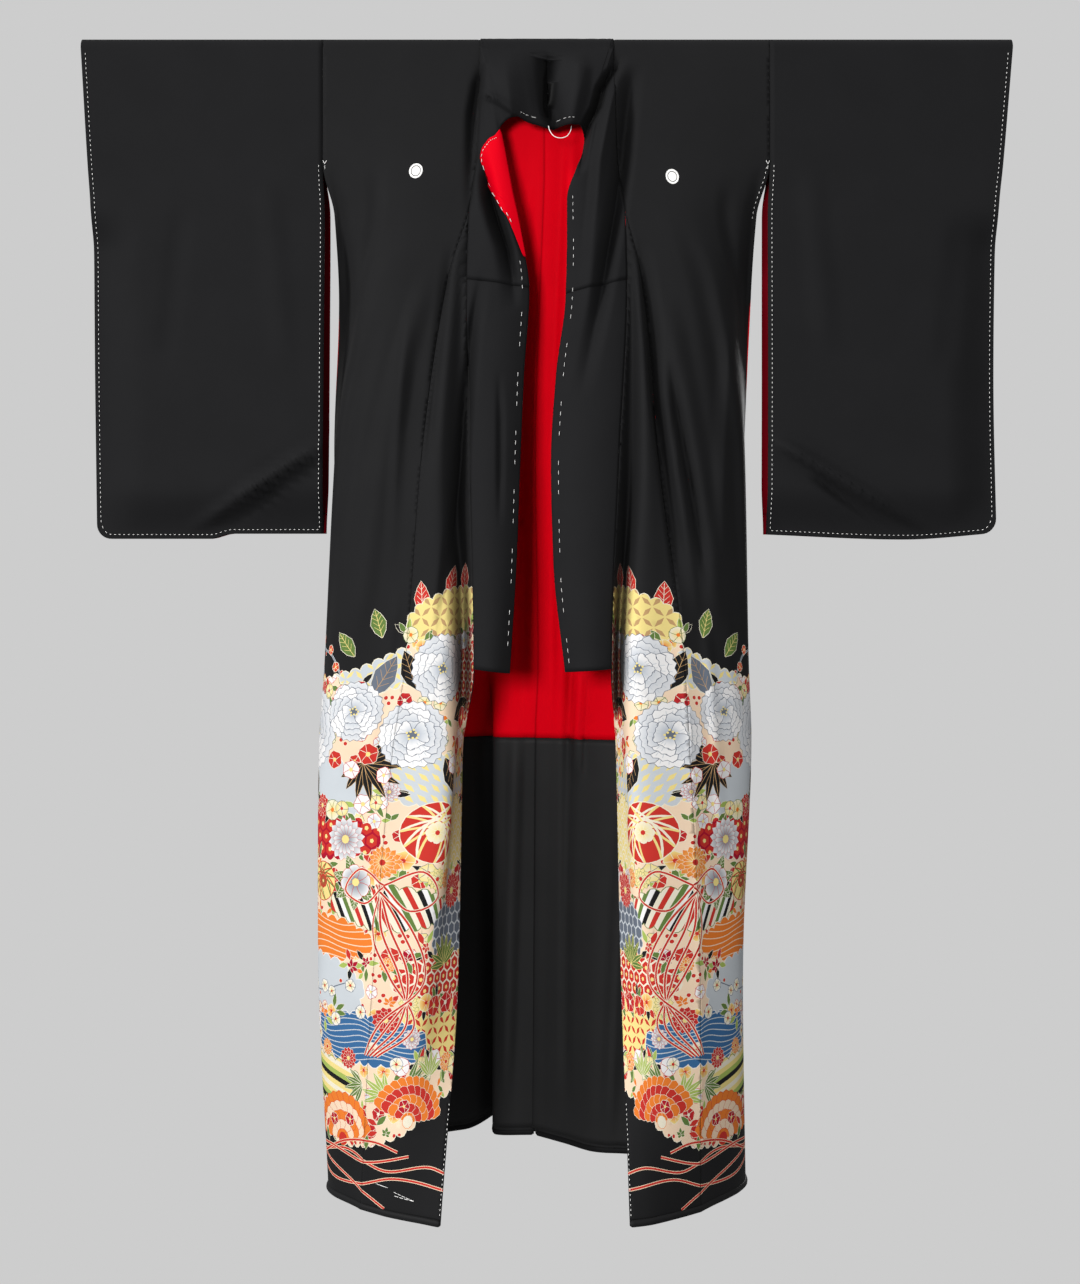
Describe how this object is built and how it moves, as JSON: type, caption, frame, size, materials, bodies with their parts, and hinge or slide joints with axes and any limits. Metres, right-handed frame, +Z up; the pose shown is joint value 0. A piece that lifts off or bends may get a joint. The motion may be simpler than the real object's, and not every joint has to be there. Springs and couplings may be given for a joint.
{
  "type": "tomesode kimono on a rod",
  "caption": "Black lined kimono with a wide collar, long open sleeves, patterned skirt and red lining, hung open on a plain round rod.",
  "frame": {"origin": "middle of the rod that holds the garment", "axes": "+X to the viewer's right along the rod, -Y to the front, +Z up"},
  "size_m": [1.2746, 0.4103, 1.5896],
  "materials": {
    "crepe": "matte black silk crepe, dyed pattern on the skirt",
    "red_silk": "soft red silk lining",
    "hem_silk": "matte black silk lining",
    "rod_wood": "plain turned wood"
  },
  "bodies": {
    "root": {"body_left": "crepe", "body_right": "crepe", "okumi_left": "crepe", "okumi_right": "crepe", "sleeve_left": "crepe", "sleeve_right": "crepe", "back_lining_left": "red_silk", "back_lining_right": "red_silk", "hem_lining_left": "hem_silk", "hem_lining_right": "hem_silk", "sleeve_lining_left": "red_silk", "sleeve_lining_right": "red_silk", "hem_roll_left": "hem_silk", "hem_roll_right": "hem_silk", "collar": "crepe", "over_collar": "crepe", "collar_lining_left": "red_silk", "rod": "rod_wood"}
  },
  "joints": []
}
